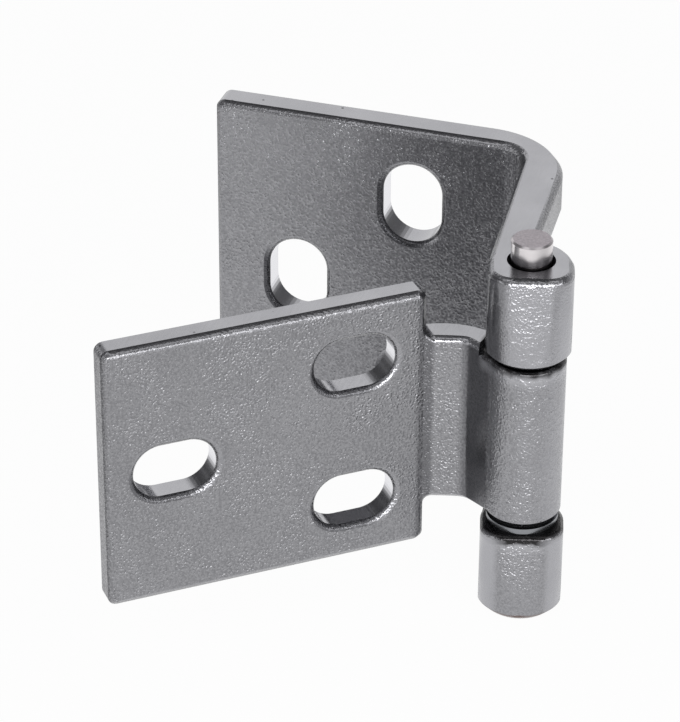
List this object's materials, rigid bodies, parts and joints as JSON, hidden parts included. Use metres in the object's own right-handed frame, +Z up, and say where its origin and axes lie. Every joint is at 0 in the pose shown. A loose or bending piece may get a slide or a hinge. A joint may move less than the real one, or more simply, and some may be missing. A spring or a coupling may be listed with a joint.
{
  "type": "door hinge",
  "caption": "Heavy door hinge: a bent pillar leaf with forked arms and a gooseneck door leaf, both with slotted bolt holes, turn on an upright pin through interleaved knuckles.",
  "frame": {"origin": "on the pillar leaf's mounting face, midway between its paired bolt slots", "axes": "+X along the pillar leaf towards the pin, +Y out of the mounting face, +Z up along the pin"},
  "size_m": [0.0966, 0.1042, 0.0901],
  "materials": {
    "leaf_steel": "cast steel with a bright silver-grey coat over a leathery cast grain",
    "pin_steel": "ground bright steel",
    "bush_steel": "plain bright steel"
  },
  "bodies": {
    "pillar": {"pillar_leaf": "leaf_steel", "upper_bush": "bush_steel", "lower_bush": "bush_steel"},
    "door": {"door_leaf": "leaf_steel", "hinge_pin": "pin_steel"}
  },
  "joints": [
    {"name": "door_swing", "type": "hinge", "parent": "pillar", "child": "door", "pos_m": [0.0403, -0.0565, 0], "axis": [0, 0, 1], "range_deg": [-39.5, 50]}
  ]
}
